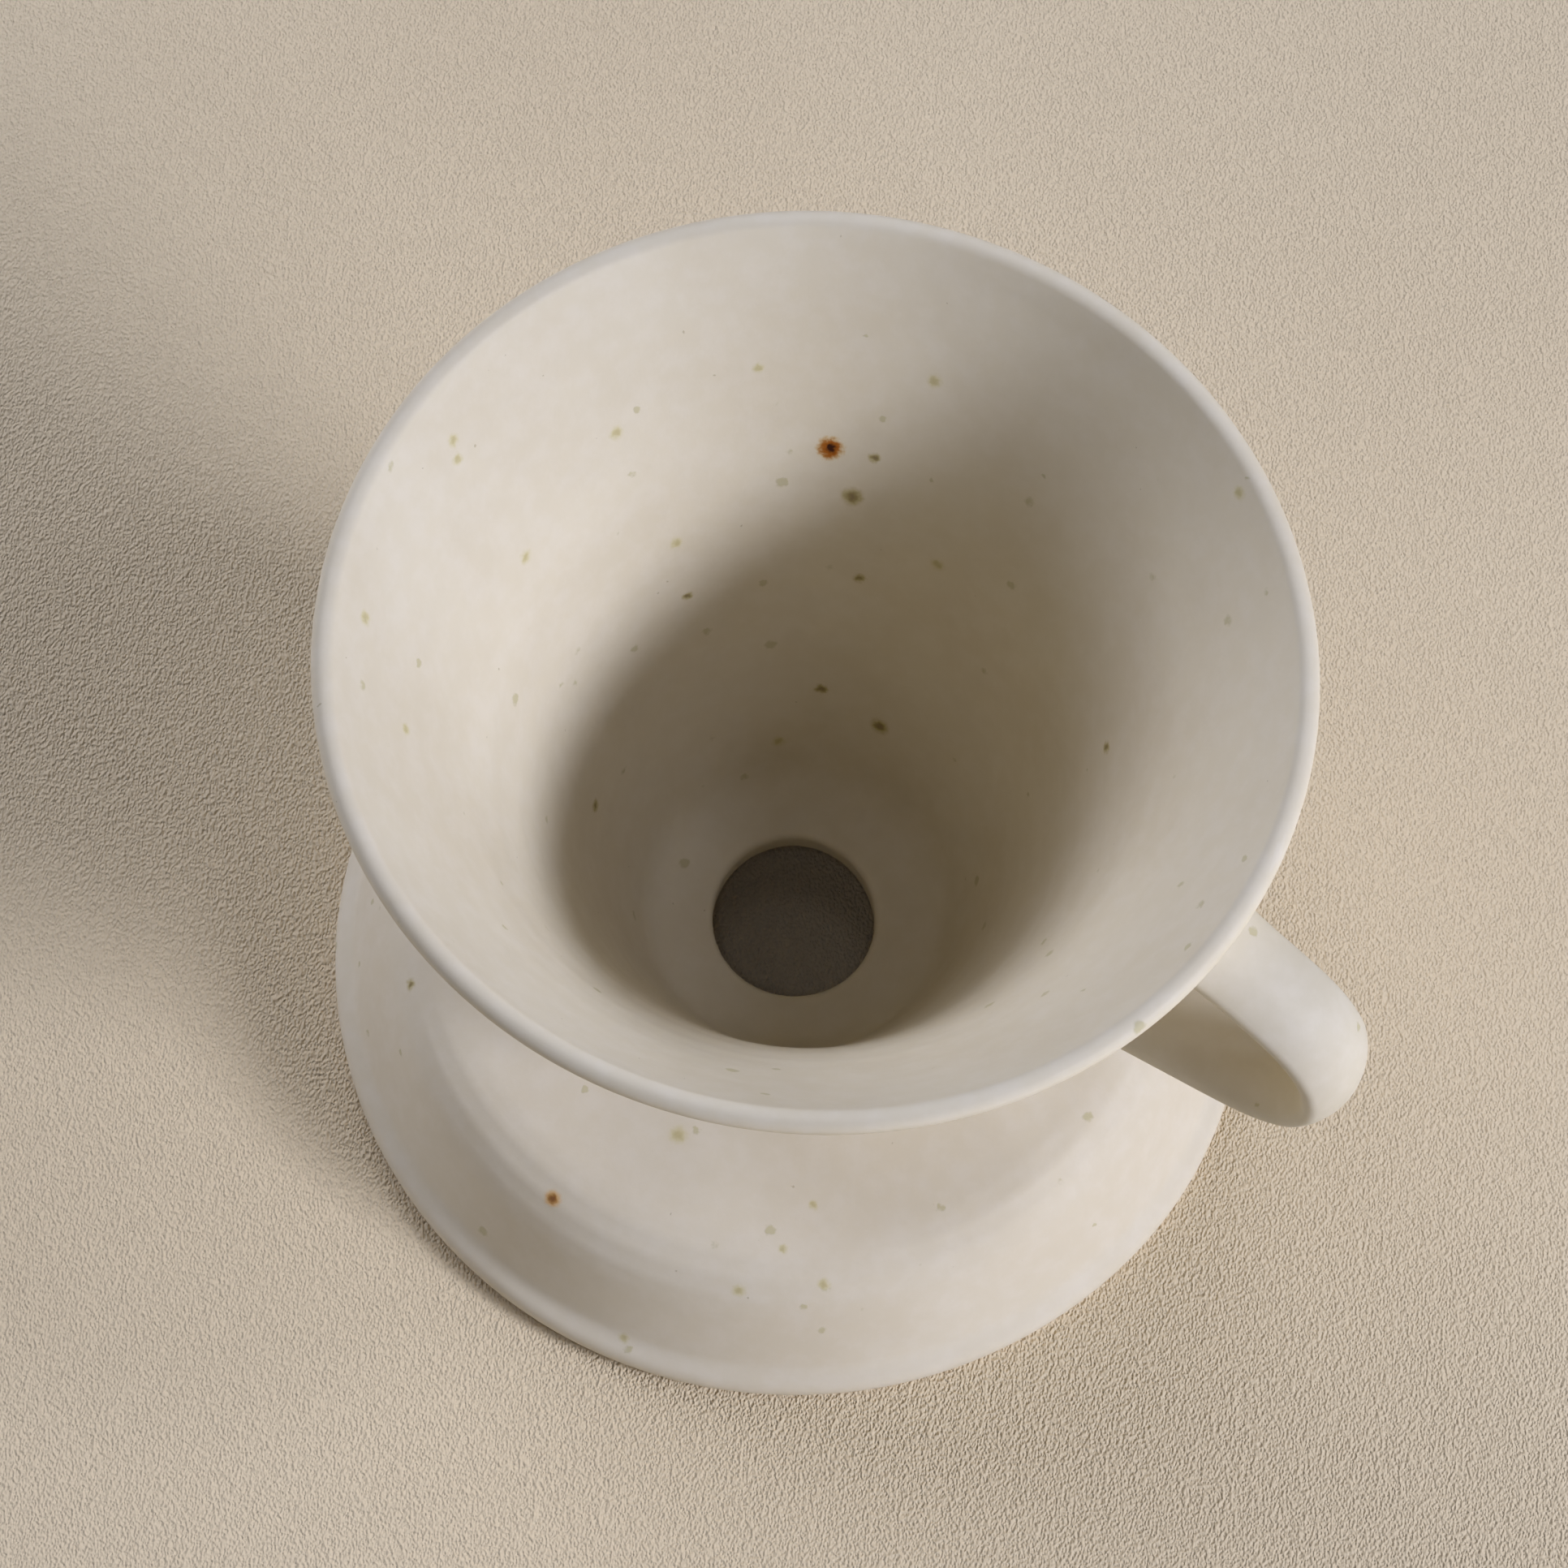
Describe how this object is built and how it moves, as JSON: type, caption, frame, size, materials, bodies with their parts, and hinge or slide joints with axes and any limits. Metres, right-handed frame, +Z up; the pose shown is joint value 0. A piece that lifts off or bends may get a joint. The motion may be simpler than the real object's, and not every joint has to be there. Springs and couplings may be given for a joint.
{
  "type": "pour over dripper",
  "caption": "Hand-thrown stoneware pour over coffee dripper: flared smooth funnel with an open drip hole, a domed mug-seat skirt and a small strap handle.",
  "frame": {"origin": "on the funnel's axis, in the plane of the foot that stands on the table", "axes": "+Z up along the axis of the drip hole, out of the funnel's mouth; the handle points 29 degrees clockwise from +X, seen from above"},
  "size_m": [0.1279, 0.1188, 0.1004],
  "materials": {
    "funnel_glaze": "satin warm off-white glaze with sparse iron specks",
    "skirt_glaze": "satin warm off-white glaze with sparse iron specks, bare clay under the foot bead",
    "handle_glaze": "satin warm off-white glaze",
    "coil_glaze": "satin warm off-white glaze pooled in the corners"
  },
  "bodies": {
    "root": {"funnel": "funnel_glaze", "base_skirt": "skirt_glaze", "neck_coil": "coil_glaze", "under_coil": "coil_glaze", "handle_strap": "handle_glaze", "handle_top_coil": "coil_glaze", "handle_bottom_coil": "coil_glaze"}
  },
  "joints": []
}
